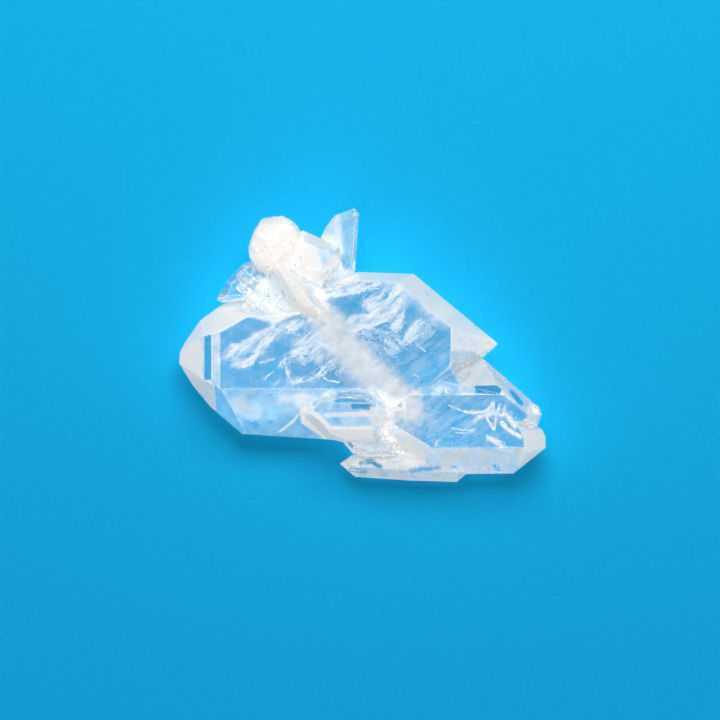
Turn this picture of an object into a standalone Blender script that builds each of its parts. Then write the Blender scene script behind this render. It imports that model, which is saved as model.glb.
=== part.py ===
"""Faden quartz: tabular quartz crystals grown together along a milky thread, lying flat on its largest face.

Frame: metres, +Z up. The origin is under the middle of the specimen, on the surface that it lies on.
+X runs along the crystals' c axis, towards the long pointed end, and +Y towards the rough white knob.

Each crystal is described as a cut stone is: an outline in plan at the height of its rim, a flat table on top,
a flat base below, and one plane above and one below each side of the outline, given by how far it has moved
inwards by the time it reaches the table or the base.
"""

import math
import random

import bmesh
import bpy
from mathutils import Matrix, Vector, noise

MM = 0.001
NODE = "quartz_cluster"

# Quartz's own angles: a tip face leans this far from the c axis, and a prism has six sides.
TIP_LEAN = math.radians(38.2)
PRISM_SIDES = 6

# Side of the block that each crystal is cut from.
BLOCK = 90.0

# The rough white knob, where the faden leaves the crystals: its blunt sides as (degrees from +X, degrees up,
# distance from its middle), and how round the edges between them are.
KNOB_CENTRE = (-12.0, 13.9, 8.6)
KNOB_SIDES = [
    (0, 0, 3.6), (45, 10, 3.9), (93, 0, 3.6), (152, 0, 3.0), (178, -5, 3.4), (225, 0, 4.0), (285, 0, 3.7),
    (20, 75, 3.5), (200, 60, 3.4), (110, 45, 3.6), (320, 45, 3.7), (0, -90, 3.4), (90, -50, 3.3), (190, -45, 3.2),
]
KNOB_SHARPNESS = 9
KNOB_SUBDIVISIONS = 4
# How far its lumps and grains stand out, as shares of its radius, and how many fit across it.
KNOB_LUMPS = (0.10, 2.3)
KNOB_GRAINS = (0.07, 6.5)

# Every crystal: outline points (x, y), anticlockwise from above, with the inward run above and below each
# side that starts at that point; heights of base, rim and table; and lean, the slope of the whole crystal
# along X and Y. bevels are extra planes: a point (x, y, z), the way it faces in degrees from +X, its slope.
# Nothing of a crystal is left below its lowest height.
CRYSTALS = {
    # The broad crystal on the left, which the specimen rests on.
    "left": dict(
        heights=(0.0, 4.5, 10.0),
        sides=[
            (-25.0, -2.4, 1.8, 1.6),
            (-24.6, -3.6, 2.4, 2.0),
            (-23.2, -5.3, 2.4, 2.0),
            (-22.1, -7.1, 2.9, 1.8),
            (-16.4, -12.0, 1.5, 0.9),
            (-2.4, -12.9, 1.5, 0.9),
            (7.8, -7.4, 1.5, 2.0),
            (4.4, 6.3, 1.5, 2.0),
            (-4.4, 9.3, 4.6, 3.0),
            (-13.7, 8.6, 3.3, 2.6),
            (-19.7, 5.3, 2.8, 2.4),
            (-22.1, 3.5, 2.3, 2.0),
            (-24.2, 0.5, 2.2, 1.9),
            (-24.9, -0.8, 1.8, 1.6),
        ],
        bevels=[
            ((-25.0, 0.0, 4.5), 180, 50),
            ((-21.4, 0.0, 8.8), 180, 34),
            ((-20.2, 0.0, 9.6), 180, 21),
            ((0.0, -5.9, 10.0), 270, 38),
        ],
    ),
    # The broad crystal on the right, which ends in the sharp point.
    "right": dict(
        heights=(-0.4, 5.0, 10.13),
        lowest=0.02,
        lean=(0.022, 0.021),
        sides=[
            (-8.5, 3.5, 1.5, 2.0),
            (-5.8, -4.6, 1.5, 2.0),
            (5.1, -8.7, 1.5, 2.0),
            (11.9, -5.6, 2.2, 1.9),
            (18.5, 0.3, 2.6, 2.3),
            (7.0, 9.8, 1.3, 1.2),
            (-1.0, 10.1, 1.5, 1.3),
            (-6.3, 8.4, 1.5, 1.3),
        ],
        bevels=[((11.9, 0.0, 10.13), 0, 39)],
    ),
    # Two crystals side by side make the lower right arm.
    "arm_upper": dict(
        heights=(-0.2, 5.2, 9.95),
        lowest=0.04,
        sides=[
            (4.6, -6.4, 1.0, 1.5),
            (5.0, -11.6, 1.0, 1.5),
            (18.7, -12.8, 1.5, 1.5),
            (23.9, -10.8, 2.0, 1.8),
            (24.4, -9.3, 1.8, 1.6),
            (23.6, -8.0, 1.9, 1.7),
            (16.1, -1.4, 4.8, 2.6),
            (10.6, -0.8, 1.0, 1.5),
        ],
        bevels=[((0.0, -5.3, 9.35), 90, 25)],
    ),
    "arm_lower": dict(
        heights=(-0.3, 4.2, 9.98),
        lowest=0.03,
        lean=(0.0, -0.018),
        sides=[
            (0.6, -9.6, 1.5, 1.5),
            (3.6, -14.0, 3.2, 2.4),
            (9.5, -17.5, 3.7, 2.6),
            (20.6, -17.4, 1.6, 1.4),
            (25.0, -13.9, 3.2, 2.4),
            (25.0, -12.4, 3.0, 2.2),
            (24.6, -11.5, 2.0, 1.6),
            (21.5, -8.7, 1.0, 1.5),
            (10.6, -6.7, 1.0, 1.5),
            (2.4, -8.0, 1.0, 1.5),
        ],
    ),
    # The low slim crystal along the front edge.
    "front_slim": dict(
        heights=(0.4, 3.0, 6.2),
        lean=(0.0, 0.04),
        sides=[
            (-3.1, -16.1, 1.8, 1.2),
            (-1.0, -17.9, 1.5, 1.3),
            (6.6, -18.4, 1.5, 1.3),
            (12.9, -18.6, 1.0, 1.0),
            (14.3, -17.4, 1.0, 1.0),
            (13.3, -14.9, 1.0, 1.0),
            (5.1, -14.4, 1.0, 1.0),
            (-1.4, -14.9, 1.8, 1.2),
        ],
    ),
    # The small crystal that rides on the front of the left one.
    "rider": dict(
        heights=(3.2, 7.6, 12.0),
        sides=[
            (-8.0, -8.9, 1.3, 1.5),
            (-7.7, -9.8, 1.5, 1.5),
            (-4.8, -12.5, 1.5, 1.5),
            (-2.4, -13.1, 1.5, 1.5),
            (2.6, -12.9, 1.5, 1.0),
            (4.2, -9.4, 1.5, 1.0),
            (1.9, -6.4, 0.8, 1.0),
            (-4.2, -6.1, 1.2, 1.0),
            (-6.3, -6.8, 1.4, 1.5),
        ],
        bevels=[
            ((0.0, -7.7, 12.0), 270, 14),
            ((0.0, -8.6, 11.75), 270, 26),
            ((0.0, -11.2, 10.5), 270, 48),
            ((-4.15, 0.0, 12.0), 180, 32),
        ],
    ),
    # The small crystal whose tip shows in the notch between the rider and the slim one.
    "notch": dict(
        heights=(3.4, 5.2, 7.4),
        sides=[
            (-2.8, -12.9, 1.0, 0.8),
            (-1.4, -14.6, 1.0, 0.8),
            (0.5, -15.1, 0.8, 0.8),
            (4.4, -15.0, 0.8, 0.8),
            (4.6, -12.2, 0.6, 0.6),
            (-1.2, -12.0, 0.8, 0.8),
        ],
    ),
    # The stubby crystal between the knob and the blade.
    "stub": dict(
        heights=(5.2, 9.0, 11.2),
        lean=(0.06, -0.06),
        sides=[
            (-8.1, 15.7, 1.2, 1.2),
            (-9.6, 13.8, 1.2, 1.2),
            (-9.2, 10.4, 1.2, 1.0),
            (-7.2, 8.4, 1.0, 1.0),
            (-4.0, 9.1, 1.0, 1.0),
            (-2.7, 11.4, 1.2, 1.0),
            (-3.3, 13.5, 1.4, 1.2),
            (-5.8, 14.6, 1.4, 1.2),
        ],
        bevels=[((-5.6, 0.0, 11.2), 0, 27), ((0.0, 9.9, 11.0), 270, 38)],
    ),
    # The thin blade that stands out beside the knob.
    "blade": dict(
        heights=(5.6, 6.9, 8.4),
        lean=(0.06, 0.22),
        sides=[
            (-5.8, 14.4, 0.8, 0.6),
            (-5.1, 10.4, 0.8, 0.6),
            (-3.1, 8.3, 0.8, 0.6),
            (-1.0, 10.2, 0.4, 0.4),
            (-0.5, 17.9, 0.5, 0.4),
            (-1.1, 18.6, 1.0, 0.6),
            (-3.7, 17.7, 1.0, 0.6),
            (-4.9, 16.2, 1.0, 0.6),
        ],
    ),
    # The thin plate on the other side of the knob.
    "plate": dict(
        heights=(4.6, 6.0, 7.6),
        lean=(0.12, -0.04),
        sides=[
            (-19.8, 6.3, 1.0, 0.8),
            (-19.1, 5.9, 0.8, 0.6),
            (-13.7, 6.3, 0.6, 0.6),
            (-11.9, 10.4, 0.6, 0.6),
            (-15.1, 11.6, 0.7, 0.6),
            (-16.4, 11.0, 0.9, 0.6),
            (-18.5, 8.7, 0.9, 0.6),
        ],
    ),
    # The crystal under the knob, which holds it, the stub and the ridge to the two broad crystals.
    "knob_foot": dict(
        heights=(2.4, 5.2, 9.3),
        lean=(0.0, 0.05),
        sides=[
            (-16.0, 8.8, 0.9, 1.4),
            (-12.5, 4.6, 0.9, 1.0),
            (-5.6, 5.0, 0.9, 1.0),
            (-4.6, 9.2, 0.9, 1.0),
            (-7.6, 12.8, 0.9, 1.6),
            (-14.2, 12.6, 0.9, 1.6),
        ],
    ),
    # The ridge along the start of the faden, from the knob down across the tables.
    "ridge": dict(
        heights=(8.0, 10.6, 11.6),
        lean=(-0.04, 0.04),
        sides=[
            (-12.6, 12.0, 0.7, -1.0),
            (-9.9, 6.3, 0.7, -1.0),
            (-8.5, 4.8, 0.7, -1.0),
            (-6.6, 4.0, 0.9, -1.0),
            (-5.4, 3.5, 0.9, -1.0),
            (-4.7, 4.9, 0.7, -1.0),
            (-6.1, 6.8, 0.7, -1.0),
            (-8.1, 8.4, 0.7, -1.0),
            (-10.6, 11.4, 0.7, -1.0),
        ],
    ),
}

# Patches of small pointed crystals: a middle, a spread along each axis, the way they point and how far that
# is scattered, how many, their radii and lengths, and a seed.
DRUSES = {
    "druse_knob_foot": dict(
        centre=(-12.4, 6.8, 8.6), spread=(3.4, 2.3, 0.6), aim=(0.5, -0.62, 0.3), scatter=0.28,
        count=26, radius=(0.5, 1.0), length=(2.0, 3.4), seed=4,
    ),
    "druse_rider_end": dict(
        centre=(3.0, -10.6, 10.1), spread=(0.9, 2.2, 0.6), aim=(0.4, -0.3, 0.6), scatter=0.6,
        count=14, radius=(0.5, 0.9), length=(1.5, 2.4), seed=9,
    ),
    "druse_notch": dict(
        centre=(2.6, -13.7, 5.8), spread=(2.4, 1.0, 0.8), aim=(-0.2, -0.6, 0.7), scatter=0.5,
        count=9, radius=(0.4, 0.8), length=(1.6, 2.6), seed=5,
    ),
    "druse_right_tip": dict(
        centre=(22.6, -9.9, 6.6), spread=(0.9, 1.3, 0.8), aim=(0.6, -0.2, 0.7), scatter=0.35,
        count=7, radius=(0.6, 1.0), length=(1.8, 2.6), seed=2,
    ),
}


def clear_scene():
    for item in list(bpy.data.objects):
        bpy.data.objects.remove(item)


def new_collection(name):
    collection = bpy.data.collections.new(name)
    bpy.context.scene.collection.children.link(collection)
    return collection


def quartz_material():
    """Clear, colourless quartz."""
    material = bpy.data.materials.new("clear_quartz")
    material.use_nodes = True
    shader = material.node_tree.nodes["Principled BSDF"]
    shader.inputs["Base Color"].default_value = (0.93, 0.95, 0.97, 1.0)
    shader.inputs["Roughness"].default_value = 0.05
    shader.inputs["IOR"].default_value = 1.544
    shader.inputs["Transmission Weight"].default_value = 0.9
    return material


def cut_away(mesh, point, normal):
    """Cuts a closed convex body along a plane, drops what lies on the normal's side and closes the cut."""
    everything = mesh.verts[:] + mesh.edges[:] + mesh.faces[:]
    made = bmesh.ops.bisect_plane(
        mesh, geom=everything, dist=1e-4, plane_co=point, plane_no=normal, clear_outer=True
    )
    rim = [item for item in made["geom_cut"] if isinstance(item, bmesh.types.BMEdge)]
    if rim:
        bmesh.ops.edgeloop_fill(mesh, edges=rim)


def finished_object(name, mesh, collection):
    """The object for a mesh drawn in millimetres, with its faces pointing out."""
    bmesh.ops.remove_doubles(mesh, verts=mesh.verts, dist=1e-3)
    bmesh.ops.recalc_face_normals(mesh, faces=mesh.faces)
    bmesh.ops.scale(mesh, vec=(MM, MM, MM), verts=mesh.verts)
    data = bpy.data.meshes.new(name)
    mesh.to_mesh(data)
    mesh.free()
    item = bpy.data.objects.new(name, data)
    collection.objects.link(item)
    return item


def tabular_crystal(name, collection, heights, sides, lean=(0.0, 0.0), bevels=(), lowest=0.0):
    """A flat crystal with a table and a base, cut from a block by one plane above and below each side."""
    base, rim, table = heights
    corners = [Vector(side[:2]) for side in sides]
    middle = sum(corners, Vector((0.0, 0.0))) / len(corners)
    mesh = bmesh.new()
    bmesh.ops.create_cube(mesh, size=BLOCK)
    cut_away(mesh, (0, 0, table), (0, 0, 1))
    cut_away(mesh, (0, 0, base), (0, 0, -1))
    for start, end, (_, _, run_above, run_below) in zip(corners, corners[1:] + corners[:1], sides):
        along = (end - start).normalized()
        outward = Vector((along.y, -along.x, 0.0))
        point = (start.x, start.y, rim)
        cut_away(mesh, point, outward * (table - rim) + Vector((0, 0, run_above)))
        cut_away(mesh, point, outward * (rim - base) - Vector((0, 0, run_below)))
    for point, facing, slope in bevels:
        turn, steepness = math.radians(facing), math.radians(slope)
        flat = Vector((math.cos(turn), math.sin(turn), 0.0)) * math.sin(steepness)
        cut_away(mesh, point, flat + Vector((0, 0, math.cos(steepness))))
    for vertex in mesh.verts:
        vertex.co.z += lean[0] * (vertex.co.x - middle.x) + lean[1] * (vertex.co.y - middle.y)
    cut_away(mesh, (0, 0, lowest), (0, 0, -1))
    return finished_object(name, mesh, collection)


def pointed_crystal(name, collection, place, aim, radius, length, dice):
    """A small six-sided prism from place along aim, ending in a quartz tip of six uneven faces."""
    mesh = bmesh.new()
    bmesh.ops.create_cone(
        mesh, cap_ends=True, segments=PRISM_SIDES, radius1=radius, radius2=radius, depth=2 * length
    )
    for side in range(PRISM_SIDES):
        turn = 2 * math.pi * (side + 0.5) / PRISM_SIDES
        flat = Vector((math.cos(turn), math.sin(turn), 0.0)) * math.cos(TIP_LEAN)
        height = length * dice.uniform(0.82, 1.0)
        cut_away(mesh, (0, 0, height), flat + Vector((0, 0, math.sin(TIP_LEAN))))
    turned = Vector(aim).to_track_quat("Z", "Y").to_matrix().to_4x4()
    spun = Matrix.Rotation(dice.uniform(0, math.pi), 4, "Z")
    bmesh.ops.transform(mesh, matrix=Matrix.Translation(place) @ turned @ spun, verts=mesh.verts)
    return finished_object(name, mesh, collection)


def druse(name, collection, centre, spread, aim, scatter, count, radius, length, seed):
    """A patch of small pointed crystals that fan out round aim."""
    dice = random.Random(seed)
    made = []
    for index in range(count):
        place = [middle + dice.uniform(-reach, reach) for middle, reach in zip(centre, spread)]
        way = Vector([part + dice.uniform(-scatter, scatter) for part in aim]).normalized()
        size = dice.uniform(*radius)
        made.append(
            pointed_crystal(
                f"{name}_{index:02d}", collection, place, way, size, dice.uniform(*length) / 2, dice
            )
        )
    return made


def knob_reach(way):
    """How far the knob's blunt sides are from its middle along way, a unit vector."""
    total = 0.0
    for facing, raised, distance in KNOB_SIDES:
        turn, up = math.radians(facing), math.radians(raised)
        normal = Vector((math.cos(turn) * math.cos(up), math.sin(turn) * math.cos(up), math.sin(up)))
        total += max(0.0, normal.dot(way) / distance) ** KNOB_SHARPNESS
    return total ** (-1 / KNOB_SHARPNESS)


def rough_knob(collection):
    """The sugary white knob: a blunt block with lumps and grains raised on it."""
    mesh = bmesh.new()
    bmesh.ops.create_icosphere(mesh, subdivisions=KNOB_SUBDIVISIONS, radius=1.0)
    for vertex in mesh.verts:
        way = vertex.co.normalized()
        raised = 1.0
        for height, count in (KNOB_LUMPS, KNOB_GRAINS):
            raised += height * noise.noise(way * count + Vector((3.1, 7.7, 1.9)))
        vertex.co = way * knob_reach(way) * raised
    bmesh.ops.translate(mesh, vec=KNOB_CENTRE, verts=mesh.verts)
    return finished_object("knob", mesh, collection)


def grow_together(first, others):
    """One solid of first and every other crystal."""
    for other in others:
        other.hide_render = True
        other.display_type = "WIRE"
        join = first.modifiers.new(f"join_{other.name}", "BOOLEAN")
        join.operation = "UNION"
        join.solver = "EXACT"
        join.object = other


def main():
    clear_scene()
    specimen = new_collection("faden_quartz")
    growths = new_collection("growths")
    first, *rest = CRYSTALS
    cluster = tabular_crystal(NODE, specimen, **CRYSTALS[first])
    cluster.data.materials.append(quartz_material())
    joined = [tabular_crystal(name, growths, **CRYSTALS[name]) for name in rest]
    for name, facts in DRUSES.items():
        joined += druse(name, growths, **facts)
    joined.append(rough_knob(growths))
    grow_together(cluster, joined)


main()
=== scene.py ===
"""Looks of a faden quartz: a clear tabular cluster with a milky thread, seen from straight above."""

import math

import bmesh
import bpy
import numpy as np
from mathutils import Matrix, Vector, bvhtree, noise


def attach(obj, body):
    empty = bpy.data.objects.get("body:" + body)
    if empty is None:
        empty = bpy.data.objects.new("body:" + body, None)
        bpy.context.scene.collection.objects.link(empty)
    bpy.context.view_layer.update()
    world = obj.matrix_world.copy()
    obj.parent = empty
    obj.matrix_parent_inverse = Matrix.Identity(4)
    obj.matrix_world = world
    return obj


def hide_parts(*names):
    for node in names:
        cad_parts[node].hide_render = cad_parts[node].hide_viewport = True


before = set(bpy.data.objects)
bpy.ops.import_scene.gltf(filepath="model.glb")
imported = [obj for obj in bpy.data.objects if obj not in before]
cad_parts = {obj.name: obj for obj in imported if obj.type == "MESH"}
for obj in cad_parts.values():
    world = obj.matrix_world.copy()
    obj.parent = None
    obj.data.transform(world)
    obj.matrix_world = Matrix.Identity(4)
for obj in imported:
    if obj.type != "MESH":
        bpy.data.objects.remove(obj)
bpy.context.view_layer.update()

MM = 0.001
NODE = "quartz_cluster"
SEED = 7

# The camera looks straight down from this far above the crystals' rims, and a pixel there is this wide.
RIM_HEIGHT = 5 * MM
CAMERA_AWAY = 450 * MM
PIXEL = 50 * MM / 367
PICTURE = 720
LOOKS_AT = (-0.34 * MM, -1.91 * MM)
SENSOR = 36.0

# Soft boxes: place, size and energy. The overhead one and the fills pass through the quartz.
OVERHEAD = dict(place=(0.0, 0.28, 0.46), size=(0.6, 0.6), energy=0.34)
KEY = dict(place=(0.02, 0.21, 0.33), size=(0.26, 0.2), energy=1.2)
# Low ones for the specimen alone.
FILL_SIZE = (0.8, 0.5)
FILLS = {
    "front": dict(place=(0.0, -0.7, 0.35), size=FILL_SIZE, energy=3.3),
    "left": dict(place=(-0.72, 0.0, 0.3), size=FILL_SIZE, energy=2.7),
    "right": dict(place=(0.75, -0.1, 0.3), size=FILL_SIZE, energy=2.5),
}
SKY = (0.97, 0.985, 1.0)
SKY_STRENGTH = 0.17
# Light is thrown about inside a crystal many times before it leaves.
BOUNCES = 40

# The card lies this far under the specimen. Its tooth makes it this much darker and lighter.
FLOOR_DROP = 0.15 * MM
FLOOR_SIDE = 6.0
PAPER = (0.006, 0.46, 0.86)
PAPER_SHADES = (0.9, 1.1)
PAPER_TOOTH = dict(per_mm=1.6, detail=6)
PAPER_ROUGHNESS = 0.9
PAPER_SHEEN = 0.1
PAPER_RELIEF = dict(strength=0.25, distance=0.05 * MM)

QUARTZ_IOR = 1.544
CLEAR = (1.0, 1.0, 1.0)
MILK = (0.8, 0.775, 0.755)
STAIN = (0.72, 0.65, 0.58)
# Painted shade: where a face should look dark, clear quartz is darkened towards this teal.
PAINTED_SHADE_TEAL = (0.42, 0.62, 0.66)
# How far light spreads in milky quartz.
MILK_DEPTH = 1.3 * MM
# Roughness where the quartz is clear, and how much milk adds to it.
CLEAR_ROUGHNESS = 0.04
MILK_ROUGHNESS = 0.34
# The patterns in it: how many fit in a mm and how finely they are broken up.
CLOUDS = dict(per_mm=0.5, detail=3)
GRAINS = dict(per_mm=3.2, detail=3)
WAVES = dict(per_mm=0.25, detail=2)
FIBRES = dict(per_mm=1.3, detail=4, waves=0.5)
# How much clouds and grains change milk, and clouds change stain. Towards MILK_FULL milk has no more clouds.
MILK_FULL = 1.12
CLOUD_SWING = 3.2
GRAIN_SWING = 0.6
STAIN_SWING = 1.6
# Streaks run this way from +X and are this many times longer than wide. They start where the fibres' noise is
# above this, rise this fast, and add up to this much milk.
STREAK_WAY = math.radians(36)
STREAK_STRETCH = 4.5
STREAK_START = 0.45
STREAK_RISE = 4.0
STREAK_MILK = 0.6
# The waves in a face stand this high beside its grain.
WAVE_SHARE = 0.35
QUARTZ_RELIEF = dict(strength=0.7, distance=0.2 * MM)
# Darkest and lightest colours of the flakes.
THREAD_WHITES = ((0.62, 0.7, 0.78), (0.7, 0.77, 0.84))
VEIL_WHITES = ((0.84, 0.88, 0.93), (0.9, 0.93, 0.96))
FLAKE_CLOUDS = dict(per_mm=0.8, detail=3)
FLAKE_ROUGHNESS = 0.45

# Longest edge of the crystals' fine mesh, in mm: everywhere, on the knob, and along the outlines of areas
# that run out within SHARP_FADE, on what is higher than SHARP_ABOVE. Edges are halved at most SPLITS times.
FINE_EDGE = 0.45
KNOB_EDGE = 0.26
SHARP_EDGE = 0.14
SHARP_FADE = 0.15
SHARP_ABOVE = 4.0
SPLITS = 8
# Points nearer than this are one, in metres, and faces that bend less than this are one face.
SAME_POINT = 1e-6
SAME_FACE = math.radians(0.3)

# The knob's middle, and how far from it its coat is whole and has run out, in mm.
KNOB = Vector((-12.0, 13.9, 8.6))
KNOB_REACH = (3.8, 4.6)
# How far the knob's sugar stands out, in mm, how many grains fit in one, and the grains' middle height.
SUGAR = 0.16
SUGAR_PER_MM = 2.2
SUGAR_LEVEL = 0.35

# What a bare face is like by its lean: (milk, stain and shade, grit). Milk and grit run from 0 to 1. The
# second runs from -1, a painted shade of deep teal, over 0 to 1, a tan stain. Tables and bases carry a little
# of that painted shade, which darkens what is seen through them.
TABLE_COAT = (0.1, -0.1, 0.05)
RIM_COAT = (0.68, 0.12, 0.15)
LOWER_COAT = (0.08, 0.1, 0.1)
BASE_COAT = (0.02, -0.15, 0.1)
# The coat of the knob, over all others.
KNOB_COAT = (1.0, 0.08, 1.0)
# In degrees: faces flatter than the first are tables or bases, and those that lean more than the second look
# down.
TABLE_SLOPE = 8
LOWER_SLOPE = 92
# Two faces that meet at more than this make a crease, and an upper crease is at least this milky: partly
# chipped edges, partly a painted highlight along them.
CREASE = math.radians(10)
CREASE_CHIPS_AND_HIGHLIGHT = 0.45
# The mesh's own attributes that hold a coat.
LAYERS = ("milk", "stain_and_shade", "grit", "streaks")

# Lines in plan that more than one thing follows, in mm.
FADEN_LINE = [(-5.2, 3.8), (-2.2, 0.0), (0.5, -3.1), (3.3, -5.5), (5.9, -8.4)]
OUTER_BAND = [(-4.3, 7.0), (-1.2, 7.5), (1.9, 8.4), (2.6, 8.7)]
INNER_BAND = [(-1.6, 3.3), (0.5, 4.0), (3.0, 4.2), (4.3, 4.7)]
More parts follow.
